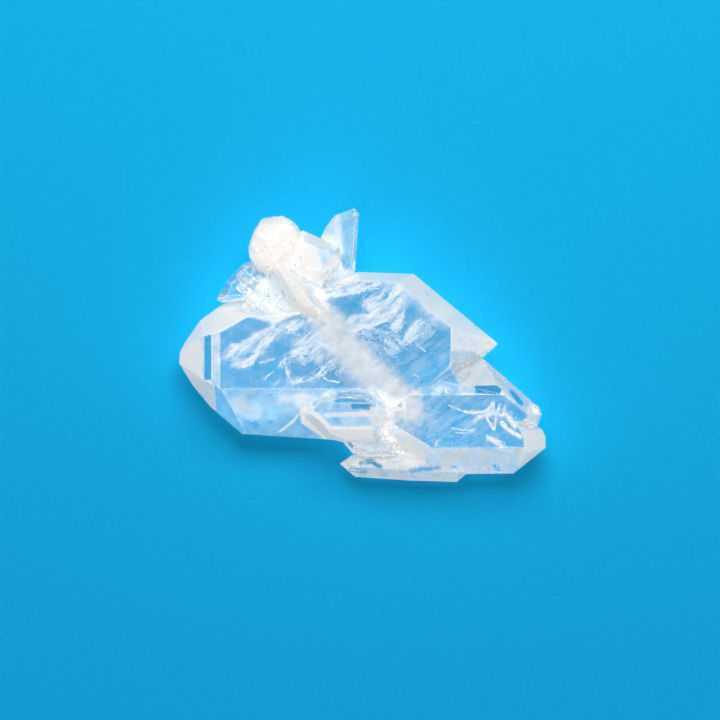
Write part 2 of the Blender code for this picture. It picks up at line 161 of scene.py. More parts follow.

# Coats laid on the faces, one over the other, in mm. Each is an area in plan by its corners, or a line by its
# points, and fade is how far it takes to run out. slopes are the least and most lean of the faces that it is
# on, in degrees, and facing is the way they look, from and to, in degrees from +X. Where neither is given, it
# is on all upper faces. coat is (milk, stain and shade, grit). Where its second value is below 0 it is
# painted
# shade: it darkens the clear quartz towards teal, most in the dark panes and slots.
ANY_SLOPE = (0, 90)
ALL_ROUND = (0, 360)
COATS = {
    # Painted shade: the clear table is darkened a little towards teal.
    "right_table": dict(
        area=[
            (-5.5, 5.0), (-1.0, 8.4), (7.0, 8.6), (12.2, 4.0), (12.2, -3.4), (7.0, -6.6), (3.6, -4.4),
            (-2.0, 1.2),
        ],
        fade=1.6, slopes=(0, 20), coat=(0.08, -0.24, 0.05),
    ),
    "faden_haze": dict(line=FADEN_LINE, fade=3.0, slopes=(0, 20), coat=(0.34, -0.1, 0.0)),
    "north_west_rim": dict(
        area=[(-25.5, -1.0), (-19, 8), (-8, 8), (-8, 2), (-19.2, 0.4), (-22, 0.3)],
        fade=0.2, slopes=(20, 90), facing=(80, 175), coat=(0.92, 0.12, 0.1),
    ),
    "west_tip": dict(
        area=[(-25.5, 0.4), (-21.9, 0.6), (-21.6, -5.5), (-24.5, -5.8), (-25.5, -3)],
        fade=0.3, slopes=(8, 90), facing=(90, 270), coat=(0.95, 0.15, 0.9),
    ),
    "south_west_rim": dict(
        area=[(-23.8, -4.2), (-19.2, -4.9), (-19.2, -9.8), (-21, -9.4)],
        fade=0.3, slopes=(20, 90), facing=(170, 265), coat=(0.8, 0.5, 0.9),
    ),
    # Painted shade: the strip is darkened to deep teal.
    "west_strip": dict(
        area=[(-21.5, 1.7), (-20.4, 2.4), (-20.4, -4.6), (-21.5, -4.6)],
        fade=0.08, slopes=(30, 38), facing=(170, 190), coat=(0.03, -0.5, 0.0),
    ),
    "north_west_white": dict(
        area=[
            (-25.2, -0.3), (-24.45, 0.14), (-23.5, 0.54), (-21.46, 1.36), (-20.5, 2.18), (-20.2, 1.23),
            (-19.1, 1.23), (-15.05, 4.22), (-14.0, 4.3), (-14.0, 8.0), (-20.0, 8.5), (-25.2, 2.0),
        ],
        fade=0.14, slopes=(12, 90), facing=(60, 200), coat=(0.97, 0.03, 0.15),
    ),
    "west_step": dict(
        area=[(-20.6, 2.6), (-19, 2.6), (-19, -5.6), (-20.6, -5.6)],
        fade=0.1, slopes=(15, 26), facing=(170, 190), coat=(0.5, 0.1, 0.2),
    ),
    # Painted shade: this clear facet is darkened towards teal.
    "front_facet": dict(
        area=[(-20.0, -5.0), (2.0, -5.0), (2.0, -14), (-20.0, -14)],
        fade=0.2, slopes=(30, 90), facing=(225, 300), coat=(0.2, -0.4, 0.05),
    ),
    "yellow_patch": dict(
        line=[(-16.4, -8.0), (-14.8, -8.9)],
        fade=1.6, slopes=(8, 90), facing=(225, 300), coat=(0.5, 0.6, 0.1),
    ),
    "front_patch": dict(
        line=[(-7.8, -7.4), (-5.6, -9.2), (-4.4, -9.6)],
        fade=2.0, slopes=(8, 90), facing=(225, 300), coat=(0.55, 0.3, 0.1),
    ),
    # Milky, and greyed towards teal by painted shade.
    "knob_foot": dict(
        area=[(-16.8, 9.4), (-8, 11), (-8.6, 4.4), (-12.0, 2.9), (-15, 4.0), (-18.6, 5.6)],
        fade=0.5, coat=(0.8, -0.2, 0.5),
    ),
    # Painted shade: the plate is darkened a little towards teal.
    "plate": dict(
        area=[(-20, 5.8), (-16, 6.6), (-13, 9.5), (-15, 12), (-20, 9)],
        fade=0.3, coat=(0.14, -0.25, 0.2),
    ),
    "plate_panes": dict(line=[(-18.7, 7.3), (-17.4, 8.3)], fade=0.7, coat=(0.05, 0.0, 0.1)),
    "plate_upper_pane": dict(line=[(-16.6, 9.6), (-15.4, 10.3)], fade=0.7, coat=(0.08, 0.0, 0.1)),
    "stub": dict(
        area=[(-9.6, 16), (-4.2, 15), (-2.6, 11.4), (-4.0, 8.4), (-8, 8.4)],
        fade=0.3, coat=(0.82, 0.4, 0.3),
    ),
    "stub_pane": dict(line=[(-5.4, 12.8), (-5.1, 11.6)], fade=0.8, coat=(0.55, 0.0, 0.1)),
    "stub_foot": dict(line=[(-7.0, 9.6), (-4.4, 9.6)], fade=1.5, coat=(0.8, 0.1, 0.4)),
    # Painted shade: the blade is darkened towards teal.
    "blade": dict(area=[(-4.4, 19), (0, 19), (0, 9.8), (-2.5, 9.8)], fade=0.3, coat=(0.18, -0.3, 0.15)),
    "blade_back": dict(
        area=[(-5.6, 17.4), (-3.2, 18.4), (-2.6, 12.5), (-4.4, 12)],
        fade=0.7, coat=(0.5, 0.1, 0.2),
    ),
    "shelf": dict(
        area=[(-5.2, 10.2), (-0.8, 10.4), (-0.8, 8.4), (-5.0, 7.4)],
        fade=0.5, coat=(0.6, 0.4, 0.2),
    ),
    "shelf_valley": dict(line=[(-7.8, 8.8), (-5.2, 6.6)], fade=1.0, coat=(0.75, 0.0, 0.1)),
    "ridge": dict(
        area=[
            (-12.8, 12.4), (-9.8, 6.2), (-8.5, 4.6), (-5.2, 3.2), (-4.4, 4.8), (-8.0, 8.8),
            (-10.4, 11.8),
        ],
        fade=0.3, coat=(0.7, 0.5, 0.25),
    ),
    "ridge_tip": dict(
        area=[(-7.4, 6.6), (-4.6, 5.6), (-4.6, 3.2), (-7.2, 3.4)],
        fade=0.4, coat=(0.7, 0.5, 0.8),
    ),
    "north_rim": dict(
        area=[(-5, 10.6), (7.4, 10.2), (7.0, 8.2), (-1.0, 8.8), (-5, 8)],
        fade=0.3, slopes=(20, 90), facing=(60, 120), coat=(0.88, 0.1, 0.15),
    ),
    "north_east_rim": dict(
        area=[(4.6, 10), (7.2, 10), (19, 0.4), (16.0, -1.2), (11.9, 2.4), (5.6, 8.0)],
        fade=0.2, slopes=(20, 90), facing=(20, 80), coat=(0.82, 0.1, 0.05),
    ),
    "north_east_haze": dict(
        line=[(3.6, 9.6), (6.6, 8.0), (11.4, 4.2)],
        fade=2.6, slopes=(0, 20), coat=(0.34, -0.05, 0.05),
    ),
    "east_facet": dict(
        area=[(11.8, 3.4), (19, 0.6), (14.6, -2.2), (11.8, -0.6)],
        fade=0.1, slopes=(15, 90), facing=(330, 50), coat=(0.76, 0.3, 0.05),
    ),
    "east_foot": dict(
        area=[(11.8, -0.7), (15.2, -0.8), (16.5, -1.8), (18.6, -3.4), (18, -5.0), (11.9, -5.0)],
        fade=0.3, coat=(0.55, 0.8, 0.9),
    ),
    "tail_haze": dict(line=[(5.4, -8.2), (5.6, -9.6)], fade=2.4, slopes=(0, 20), coat=(0.3, 0.0, 0.05)),
    # Painted shade: a dark pane in deep teal.
    "tail_pane": dict(
        line=[(5.2, -10.3), (6.8, -10.6)],
        fade=0.8, slopes=(0, 20), coat=(0.05, -0.5, 0.0),
    ),
    "tan_stain": dict(line=[(13.9, -3.3), (14.1, -3.2)], fade=0.8, coat=(0.75, 1.0, 0.6)),
    "arm_back_rim": dict(
        area=[(16, -1.4), (24.6, -8.2), (23.4, -10.8), (18.5, -5.4), (13.6, -5.2)],
        fade=0.3, slopes=(15, 90), facing=(10, 90), coat=(0.66, 0.5, 0.4),
    ),
    # Painted shade: the wedge is darkened a little towards teal.
    "arm_back_wedge": dict(
        area=[(6.4, -7.0), (11.9, -2.9), (13.2, -5.2), (13.2, -7.0)],
        fade=0.6, coat=(0.15, -0.25, 0.1),
    ),
    "arm_pink_pane": dict(
        area=[(13.3, -5.4), (15.4, -5.4), (15.4, -6.4), (13.0, -6.4)],
        fade=0.3, coat=(0.34, 0.5, 0.1),
    ),
    # Painted shade: the dark panes here are deep teal.
    "arm_back_panes": dict(line=[(20.2, -6.3), (21.5, -7.8)], fade=0.55, coat=(0.04, -0.9, 0.0)),
    "arm_teal_pane": dict(
        area=[(15.2, -5.4), (18.1, -5.3), (18.8, -5.9), (18.5, -6.55), (15.2, -6.4)],
        fade=0.12, coat=(0.03, -1.0, 0.0),
    ),
    "arm_end": dict(
        area=[(21.6, -11.4), (25.4, -11.2), (25.4, -14.2), (21, -17.8), (19.8, -17.6), (21.6, -14)],
        fade=0.2, slopes=(15, 90), facing=(270, 90), coat=(0.97, 0.05, 0.3),
    ),
    "arm_knots": dict(line=[(22.8, -8.8), (23.4, -9.4), (22.8, -10.4)], fade=0.9, coat=(0.95, 0.0, 0.7)),
    "arm_front_rim": dict(
        area=[(3.6, -13.6), (21, -13.4), (21.4, -17.6), (3.6, -17.6)],
        fade=0.2, slopes=(20, 90), facing=(225, 320), coat=(0.58, -0.1, 0.15),
    ),
    "arm_left_milk": dict(
        area=[(2.6, -9.8), (7.2, -10.8), (9.6, -14.2), (8.4, -15.4), (3.0, -15.2), (1.0, -13.5)],
        fade=0.6, slopes=(12, 90), facing=(180, 320), coat=(0.8, 0.15, 0.5),
    ),
    # Painted shade: a dark pane in deep teal.
    "arm_front_pane": dict(
        line=[(17.9, -16.2), (18.4, -16.7)],
        fade=0.5, slopes=(15, 90), facing=(225, 320), coat=(0.05, -0.7, 0.0),
    ),
    "arm_front_milk": dict(
        line=[(11.5, -15.0), (16.8, -15.4)],
        fade=1.6, slopes=(15, 90), facing=(225, 320), coat=(0.72, 0.25, 0.15),
    ),
    "rider": dict(
        area=[(-8.2, -8.8), (-4.8, -6.0), (2.0, -6.2), (4.4, -9.6), (2.6, -13.2), (-4.9, -12.8)],
        fade=0.2, coat=(0.3, -0.1, 0.2),
    ),
    # Painted shade: the pane and the slot behind the rider are darkened to teal.
    "rider_pane": dict(
        area=[(-3.6, -6.2), (0.8, -6.2), (1.4, -7.6), (-3.6, -7.6)],
        fade=0.3, coat=(0.06, -0.4, 0.05),
    ),
    "rider_slot": dict(
        area=[(-1.5, -7.8), (1.6, -7.8), (1.6, -8.5), (-1.5, -8.5)],
        fade=0.1, coat=(0.02, -0.7, 0.0),
    ),
    "rider_band": dict(line=[(-4.8, -9.3), (1.0, -9.1)], fade=0.5, coat=(0.8, 0.2, 0.1)),
    "rider_front": dict(
        area=[(-5.4, -10.9), (2.4, -10.8), (3.4, -13.4), (-5.4, -13.4)],
        fade=0.5, coat=(1.0, 0.0, 0.4),
    ),
    "rider_side": dict(
        area=[(-8.4, -8.2), (-6.9, -8.2), (-4.2, -10.9), (-3.6, -12.6), (-4.4, -13.2), (-8.4, -10.4)],
        fade=0.2, coat=(0.9, 0.3, 0.3),
    ),
    "rider_end": dict(
        area=[(1.0, -8.2), (4.0, -8.2), (4.4, -13.2), (1.6, -13.2)],
        fade=0.6, coat=(0.62, 0.35, 0.8),
    ),
    "notch": dict(
        area=[(-3, -12.9), (6, -12.9), (6, -15.2), (-1.6, -15.2)],
        fade=0.3, coat=(0.68, 0.15, 1.0),
    ),
    # Painted shade: a dark pane in deep teal.
    "notch_pane": dict(line=[(-1.8, -13.2), (-1.4, -13.6)], fade=0.4, coat=(0.05, -1.0, 0.0)),
    "slim": dict(
        area=[(-3.4, -16), (-1, -14.9), (6, -14.6), (14.4, -17.2), (12.9, -18.8), (-1.2, -18.2)],
        fade=0.2, coat=(0.72, 0.35, 0.3),
    ),
    # Painted shade: a dark pane in deep teal.
    "slim_back_pane": dict(
        line=[(-0.2, -15.9), (1.2, -15.7), (2.4, -16.4)],
        fade=0.5, coat=(0.05, -0.8, 0.0),
    ),
    "slim_front_pane": dict(line=[(-1.6, -16.9), (0.3, -17.1)], fade=0.45, coat=(0.05, 0.0, 0.0)),
    "slim_long_pane": dict(line=[(6.6, -16.9), (10.4, -16.6)], fade=0.5, coat=(0.12, 0.0, 0.0)),
    "slim_edge": dict(line=[(-0.6, -18.1), (12.9, -18.5)], fade=0.4, coat=(0.95, 0.1, 0.1)),
}

# Where thin veils show as streaks through the tables, laid one over the other: amount runs from 0 to 1.
STREAKED = [
    dict(
        area=[
            (-4.4, 6.9), (2.7, 8.4), (8.5, 6.3), (11.8, 2.2), (11.8, -1.9), (7.8, -5.7), (2.4, -1.2),
            (-2.4, 3.8),
        ],
        fade=1.2, amount=0.26,
    ),
    dict(
        area=[(9.0, -6.6), (18.5, -6.8), (20.8, -12.4), (14.0, -14.0), (8.6, -13.6)],
        fade=1.0, amount=0.22,
    ),
    dict(
        area=[
            (-19.2, -1.8), (-17.2, 0.1), (-13.7, 2.2), (-10.6, 3.4), (-8.5, 3.1), (-10.6, 1.3),
            (-13.7, -0.7), (-16.7, -3.1), (-18.4, -2.9),
        ],
        fade=0.9, amount=0.9,
    ),
    dict(
        area=[(-9.9, 0.6), (-6.5, 1.8), (-3.0, 1.0), (-2.6, -1.4), (-6.0, -2.4), (-9.5, -1.8)],
        fade=1.0, amount=0.8,
    ),
    dict(line=FADEN_LINE, fade=4.2, amount=0.34),
    dict(line=FADEN_LINE, fade=2.2, amount=0.12),
    dict(
        area=[(0.7, 5.6), (2.2, 6.3), (3.6, 7.4), (5.2, 7.6), (4.7, 5.7), (3.6, 4.2), (0.9, 4.1)],
        fade=0.6, amount=1.0,
    ),
    dict(line=OUTER_BAND, fade=0.9, amount=0.9),
    dict(line=INNER_BAND, fade=0.8, amount=0.9),
    dict(line=[(-3.6, 5.6), (-0.8, 5.4)], fade=1.2, amount=0.05),
    dict(line=[(9.9, 3.2), (11.2, 1.6)], fade=1.2, amount=0.05),
]

# Where the forms have run into each other, in mm: an area in plan, how many times the mesh is eased there,
# and whether only heights are.
MELTED = [
    dict(
        area=[
            (-18.4, 9.0), (-15.6, 9.8), (-10.2, 11.6), (-8.2, 8.6), (-4.6, 5.4), (-4.4, 3.0), (-8.2, 3.4),
            (-18.8, 5.4),
        ],
        times=2, heights_only=False,
    ),
    dict(
        area=[
            (-18.6, 7.2), (-15.4, 9.2), (-13.6, 10.6), (-12.2, 9.4), (-10.8, 6.6), (-9.4, 4.2), (-12.0, 3.2),
            (-18.6, 5.2),
        ],
        times=14, heights_only=True,
    ),
    dict(area=[(-16.4, 11.8), (-8.6, 12.4), (-8.4, 9.0), (-15.4, 8.6)], times=4, heights_only=False),
    dict(area=[(0.6, -7.6), (4.6, -7.6), (6.2, -13.4), (1.4, -13.8)], times=10, heights_only=True),
]

# Runs of tiny white flakes inside the quartz, in mm: points along the middle, its height, how far they spread
# from it in plan and how many; then, where they differ from a plain run, how deep they spread, their size,
# how patchy they lie (0 even) and over what length. Veils are made of splinters instead, this wide and this
# many times longer.
WISP_SIZE = (0.03, 0.06)
WISP_STRETCH = 7
FADEN = [
    dict(
        line=[(-6.4, 5.2), (-5.0, 3.4), (-2.2, 0.0), (0.5, -3.1), (3.3, -5.5), (5.7, -7.9)],
        height=6.6, spread=0.85, count=30000, depth=0.9, size=(0.1, 0.17),
    ),
    dict(
        line=[(-5.6, 4.2), (-2.2, 0.0), (0.5, -3.1), (3.3, -5.5), (6.4, -8.8)],
        height=6.4, spread=1.35, count=16000, depth=1.0, size=(0.08, 0.14),
    ),
    dict(
        line=[(4.4, -6.6), (6.2, -8.4), (5.6, -9.6)],
        height=6.4, spread=1.1, count=9000, depth=0.9, size=(0.08, 0.14),
    ),
    dict(
        line=[(7.4, -9.4), (8.8, -12.2), (10.5, -14.2)],
        height=6.0, spread=1.8, count=2500, size=(0.07, 0.12), patchy=0.5, patch=1.1,
    ),
]
VEILS = [
    # Left crystal: long wisps from the west step to the foot of the ridge.
    dict(
        line=[(-18.5, -1.4), (-13.0, 1.7), (-11.2, 2.6)],
        height=8.6, spread=0.3, count=2550, patchy=0.6,
    ),
    dict(
        line=[(-17.4, -2.5), (-15.2, -2.0), (-13.0, 0.6), (-11.0, 2.4)],
        height=8.4, spread=0.34, count=3230, patchy=0.5,
    ),
    dict(line=[(-16.0, -2.6), (-14.9, -1.9)], height=8.5, spread=0.22, count=1190, patchy=0.3),
    dict(line=[(-17.8, -0.1), (-15.6, 0.0)], height=8.3, spread=0.2, count=595, patchy=0.6),
    dict(line=[(-11.4, 2.6), (-9.6, 2.4), (-8.0, 3.2)], height=8.2, spread=0.5, count=2550, patchy=0.6),
    # Its thin curl and the short strokes beside it.
    dict(
        line=[(-13.8, -2.3), (-11.2, -1.6), (-11.0, -2.2), (-11.4, -3.0), (-13.4, -4.5)],
        height=8.9, spread=0.03, count=420, depth=0.05, patchy=0.2,
    ),
    dict(line=[(-11.9, -5.3), (-11.2, -4.7)], height=8.8, spread=0.03, count=90, depth=0.05),
    dict(
        line=[(-5.9, -3.8), (-4.7, -4.7), (-3.2, -4.9)],
        height=8.6, spread=0.03, count=200, depth=0.05, patchy=0.2,
    ),
    # The ragged fracture in its middle.
    dict(
        line=[(-9.2, -1.1), (-7.6, -0.2), (-6.3, 1.0), (-3.4, -0.1)],
        height=7.8, spread=0.75, count=7140, patchy=0.75, patch=0.5,
    ),
    dict(
        line=[(-10.5, -1.8), (-10.1, -3.8), (-9.4, -4.9), (-7.2, -4.7), (-4.6, -2.7)],
        height=8.4, spread=0.3, count=3000, depth=0.15, patchy=0.8, patch=0.3,
    ),
    dict(
        line=[(-11.4, -7.3), (-9.4, -6.0), (-7.7, -7.1)],
        height=7.2, spread=0.45, count=2550, patchy=0.5,
    ),
    # The crack down to the front edge.
    dict(line=[(-11.4, -11.8), (-9.2, -9.8), (-8.6, -8.6)], height=5.6, spread=0.06, count=1020),
    # Right crystal: ragged patch, bands and slanting wisps.
    dict(
        line=[(1.2, 5.2), (3.4, 5.6), (4.9, 7.2)],
        height=7.8, spread=0.8, count=8840, patchy=0.7, patch=0.7,
    ),
    dict(line=OUTER_BAND, height=8.6, spread=0.3, count=3400, patchy=0.5),
    dict(line=INNER_BAND, height=8.0, spread=0.28, count=2720, patchy=0.6),
    dict(line=[(-1.2, 2.4), (1.2, 3.0), (3.7, 3.7)], height=8.0, spread=0.3, count=2550, patchy=0.6),
    dict(line=[(5.4, 0.5), (8.2, 3.7)], height=8.0, spread=0.35, count=1870, patchy=0.75, patch=0.8),
    dict(line=[(4.3, 2.3), (6.4, 4.7)], height=7.6, spread=0.4, count=2210, patchy=0.75, patch=0.8),
    dict(line=[(6.2, 0.0), (10.6, 4.0)], height=7.2, spread=0.5, count=1530, patchy=0.8, patch=0.9),
    dict(
        line=[(0.4, 2.0), (3.0, 1.0), (4.6, -0.4)],
        height=7.4, spread=0.8, count=4420, patchy=0.7, patch=0.7,
    ),
    dict(line=[(7.3, 0.2), (8.4, -0.7)], height=9.0, spread=0.03, count=170, depth=0.05),
    dict(line=[(6.9, -3.8), (7.5, -4.3)], height=9.0, spread=0.03, count=90, depth=0.05),
    dict(line=[(9.6, -6.1), (11.4, -5.9), (11.6, -6.6)], height=8.6, spread=0.3, count=600, patchy=0.6),
    # Arm: the spiky fracture with its splinters, the white streaks towards the end and fine strokes.
    dict(line=[(11.6, -8.0), (13.2, -8.7), (14.4, -9.0)], height=9.5, spread=0.03, count=160, depth=0.05),
    dict(
        line=[(13.8, -8.9), (15.4, -9.0), (16.4, -8.9), (17.3, -8.4)],
        height=9.5, spread=0.09, count=900, depth=0.08,
    ),
    dict(
        line=[(15.0, -10.3), (15.6, -9.6), (16.6, -9.5), (17.6, -9.0)],
        height=9.5, spread=0.16, count=900, depth=0.1, patchy=0.6, patch=0.3,
    ),
    dict(
        line=[(16.9, -9.2), (19.2, -9.0), (20.0, -9.7)],
        height=9.5, spread=0.24, count=2200, depth=0.12, patchy=0.7, patch=0.35,
    ),
    dict(line=[(16.8, -8.9), (17.5, -7.7)], height=9.5, spread=0.06, count=260, depth=0.06),
    dict(line=[(17.6, -8.9), (17.7, -7.5)], height=9.5, spread=0.05, count=200, depth=0.06),
    dict(line=[(18.2, -9.1), (18.5, -7.9)], height=9.5, spread=0.06, count=240, depth=0.06),
    dict(line=[(18.9, -9.2), (19.3, -8.1)], height=9.5, spread=0.05, count=160, depth=0.06),
    dict(line=[(16.7, -9.7), (17.7, -11.3)], height=9.5, spread=0.07, count=400, depth=0.06),
    dict(line=[(18.0, -9.4), (17.8, -11.2)], height=9.5, spread=0.06, count=300, depth=0.06),
    dict(
        line=[(19.2, -9.0), (20.2, -10.2), (20.6, -10.9)],
        height=9.4, spread=0.2, count=1100, depth=0.12, patchy=0.6, patch=0.3,
    ),
    dict(
        line=[(18.8, -10.4), (19.6, -11.3), (21.2, -12.2)],
        height=9.5, spread=0.09, count=1700, depth=0.08, size=(0.05, 0.1),
    ),
    dict(
        line=[(16.9, -12.4), (18.2, -13.0), (19.6, -14.1), (20.6, -15.0)],
        height=8.8, spread=0.15, count=1900, depth=0.12, size=(0.05, 0.1), patchy=0.3, patch=0.4,
    ),
    dict(
        line=[(12.0, -11.1), (13.6, -11.4), (15.0, -11.3)],
        height=9.5, spread=0.03, count=190, depth=0.05,
    ),
    dict(
        line=[(12.6, -11.7), (13.8, -11.8), (15.0, -11.5)],
        height=9.5, spread=0.03, count=150, depth=0.05,
    ),
    dict(line=[(9.8, -13.6), (10.1, -12.8)], height=9.2, spread=0.03, count=60, depth=0.05),
]
# Round bubbles along the fracture in the left crystal: how far they lie from its line, their rings' least and
# greatest radius, and the flakes in a ring.
BUBBLES = dict(
    line=[(-8.4, -1.9), (-6.4, -1.6), (-4.4, -2.4), (-2.6, -3.8)],
    height=8.2, spread=0.35, count=22, radius=(0.2, 0.34),
)
RING_FLAKES = 80
RING_DEPTH = 0.05
RING_SIZE = (0.06, 0.09)
# A flake's three corners are this far round it, each give or take a little, and this share of its size away.
THIRDS = np.radians([0, 120, 240])
CORNER_TURN = 0.4
CORNER_REACH = 0.62
FLAKE_TILT = 0.35
# How splinters stray from the run: in direction, in rise and in roll. Their third corner is up to this share
# of their half length from the middle.
SPLINTER_TURN = 0.3
SPLINTER_RISE = 0.12
SPLINTER_ROLL = 0.4
SPLINTER_TIP = 0.6
# Patches are this many times longer than wide. A place is in one where its noise is above PATCH_GAIN times
# patchy less PATCH_LEVEL, give or take PATCH_EDGE.
PATCH_STRETCH = 4
PATCH_GAIN = 0.45
PATCH_LEVEL = 0.2
PATCH_EDGE = 0.08
# A ray that has met a face goes on from this far beyond it, in mm, and meets at most this many.
UP = Vector((0.0, 0.0, 1.0))
SKIN = 0.001
MOST_FACES_MET = 20


def new_material(name):
    """A material, its node tree and its shader."""
    material = bpy.data.materials.new(name)
    material.use_nodes = True
    return material, material.node_tree, material.node_tree.nodes["Principled BSDF"]


def own_place(tree):
    return tree.nodes.new("ShaderNodeTexCoord").outputs["Object"]


def attribute(tree, name):
    made = tree.nodes.new("ShaderNodeAttribute")
    made.attribute_name = name
    return made.outputs["Fac"]


def noise_value(tree, place, per_mm, detail, waves=0.0):
    made = tree.nodes.new("ShaderNodeTexNoise")
    made.inputs["Distortion"].default_value = waves
    made.inputs["Scale"].default_value = per_mm / MM
    made.inputs["Detail"].default_value = detail
    tree.links.new(place, made.inputs["Vector"])
    return made.outputs["Fac"]


def calculated(tree, operation, first, second, clamp=False):
    """The result of a Math node on two sockets or numbers."""
    made = tree.nodes.new("ShaderNodeMath")
    made.operation = operation
    made.use_clamp = clamp
    for socket, value in zip(made.inputs, (first, second)):
        if isinstance(value, bpy.types.NodeSocket):
            tree.links.new(value, socket)
        else:
            socket.default_value = value
    return made.outputs["Value"]


def mixed(tree, share, first, second):
    """A colour from first, at share 0, to second, at share 1."""
    made = tree.nodes.new("ShaderNodeMix")
    made.data_type = "RGBA"
    tree.links.new(share, made.inputs["Factor"])
    for name, value in (("A", first), ("B", second)):
        socket = next(item for item in made.inputs if item.name == name and item.type == "RGBA")
        if isinstance(value, bpy.types.NodeSocket):
            tree.links.new(value, socket)
        else:
            socket.default_value = (*value, 1.0)
    return next(item for item in made.outputs if item.type == "RGBA")


def raise_relief(tree, shader, height, strength, distance):
    bump = tree.nodes.new("ShaderNodeBump")
    bump.inputs["Strength"].default_value = strength
    bump.inputs["Distance"].default_value = distance
    tree.links.new(height, bump.inputs["Height"])
    tree.links.new(bump.outputs["Normal"], shader.inputs["Normal"])


def paper_material():
    """Smooth coloured card with a fine tooth."""
    material, tree, shader = new_material("blue_paper")
    tooth = noise_value(tree, own_place(tree), **PAPER_TOOTH)
    darker, lighter = (tuple(channel * shade for channel in PAPER) for shade in PAPER_SHADES)
    tree.links.new(mixed(tree, tooth, darker, lighter), shader.inputs["Base Color"])
    shader.inputs["Roughness"].default_value = PAPER_ROUGHNESS
    shader.inputs["Specular IOR Level"].default_value = PAPER_SHEEN
    raise_relief(tree, shader, tooth, **PAPER_RELIEF)
    return material


def milky_skin(tree, milk, grit, cloud, grain):
    """How milky a face is: cloudy where milk is thin, even where it is thick or absent, specked by grit."""
    thin = calculated(tree, "MULTIPLY", milk, calculated(tree, "SUBTRACT", MILK_FULL, milk))
    uneven = calculated(tree, "SUBTRACT", cloud, 0.5)
    swing = calculated(tree, "MULTIPLY", calculated(tree, "MULTIPLY", thin, uneven), CLOUD_SWING)
    speck = calculated(tree, "SUBTRACT", grain, 0.5)
    speckle = calculated(tree, "MULTIPLY", calculated(tree, "MULTIPLY", grit, speck), GRAIN_SWING)
    cloudy = calculated(tree, "ADD", milk, swing)
    return calculated(tree, "ADD", cloudy, speckle, clamp=True)


def streaked(tree, place, streaks):
    """How much milk the streaks add."""
    turned = tree.nodes.new("ShaderNodeMapping")
    turned.vector_type = "TEXTURE"
    turned.inputs["Rotation"].default_value = (0.0, 0.0, STREAK_WAY)
    turned.inputs["Scale"].default_value = (STREAK_STRETCH, 1.0, 1.0)
    tree.links.new(place, turned.inputs["Vector"])
    fibres = noise_value(tree, turned.outputs["Vector"], **FIBRES)
    above = calculated(tree, "SUBTRACT", fibres, STREAK_START)
    lines = calculated(tree, "MULTIPLY", above, STREAK_RISE, clamp=True)
    return calculated(tree, "MULTIPLY", lines, calculated(tree, "MULTIPLY", streaks, STREAK_MILK))


def quartz_colour(tree, whole, stain_and_shade, cloud):
    """Clear to milky, stained tan where the stain-and-shade value is above 0, and darkened towards teal, a
    painted shade, where it is below 0.
    """
    white = mixed(tree, whole, CLEAR, MILK)
    patchy = calculated(tree, "MULTIPLY", cloud, STAIN_SWING)
    stained = mixed(tree, calculated(tree, "MULTIPLY", stain_and_shade, patchy, clamp=True), white, STAIN)
    # Below 0 the colour is darkened towards teal, a painted shade.
    return mixed(tree, calculated(tree, "MULTIPLY", stain_and_shade, -1.0, clamp=True), stained, PAINTED_SHADE_TEAL)


def quartz_material():
    """Clear quartz that turns milky, stained, gritty and teal, a painted shade, by the mesh's own attributes.
    """
    material, tree, shader = new_material("quartz")
    place = own_place(tree)
    milk, stain_and_shade, grit, streaks = (attribute(tree, name) for name in LAYERS)
    cloud = noise_value(tree, place, **CLOUDS)
    grain = noise_value(tree, place, **GRAINS)
    skin = milky_skin(tree, milk, grit, cloud, grain)
    whole = calculated(tree, "ADD", skin, streaked(tree, place, streaks), clamp=True)
    through = calculated(tree, "SUBTRACT", 1.0, whole, clamp=True)
    tree.links.new(through, shader.inputs["Transmission Weight"])
    tree.links.new(quartz_colour(tree, whole, stain_and_shade, cloud), shader.inputs["Base Color"])
    soft = calculated(tree, "MULTIPLY", skin, MILK_ROUGHNESS)
    tree.links.new(calculated(tree, "ADD", soft, CLEAR_ROUGHNESS), shader.inputs["Roughness"])
    shader.inputs["IOR"].default_value = QUARTZ_IOR
    shader.inputs["Subsurface Weight"].default_value = 1.0
    shader.inputs["Subsurface Radius"].default_value = (1.0, 1.0, 1.0)
    shader.inputs["Subsurface Scale"].default_value = MILK_DEPTH
    rough = calculated(tree, "MULTIPLY", grain, grit)
    waves = calculated(tree, "MULTIPLY", noise_value(tree, place, **WAVES), WAVE_SHARE)
    raise_relief(tree, shader, calculated(tree, "ADD", rough, waves), **QUARTZ_RELIEF)
    return material


def flake_material(name, whites):
    """Matt white in soft clouds."""
    material, tree, shader = new_material(name)
    cloud = noise_value(tree, own_place(tree), **FLAKE_CLOUDS)
    tree.links.new(mixed(tree, cloud, *whites), shader.inputs["Base Color"])
    shader.inputs["Roughness"].default_value = FLAKE_ROUGHNESS
    return material


def soft_step(low, high, values):
    """0 up to low, 1 from high on, and an even curve between them."""
    share = np.clip((values - low) / (high - low), 0, 1)
    return share * share * (3 - 2 * share)


def from_line(points, line):
    """How far each point is in plan from a line through the given points."""
    nearest = np.full(len(points), np.inf)
    for start, end in zip(np.array(line[:-1]), np.array(line[1:])):
        along = end - start
        share = np.clip((points - start) @ along / (along @ along), 0, 1)
        nearest = np.minimum(nearest, np.linalg.norm(points - start - share[:, None] * along, axis=1))
    return nearest


def inside_area(points, area):
    """How far each point is in plan inside an area's outline, and below 0 outside it."""
    within = np.zeros(len(points), bool)
    for (x0, y0), (x1, y1) in zip(area, area[1:] + area[:1]):
        crosses = (y0 > points[:, 1]) != (y1 > points[:, 1])
        # An edge along X is never crossed, so any divisor serves for it.
        meets = x0 + (points[:, 1] - y0) * (x1 - x0) / ((y1 - y0) or 1e-9)
        within ^= crosses & (points[:, 0] < meets)
    away = from_line(points, area + area[:1])
    return np.where(within, away, -away)


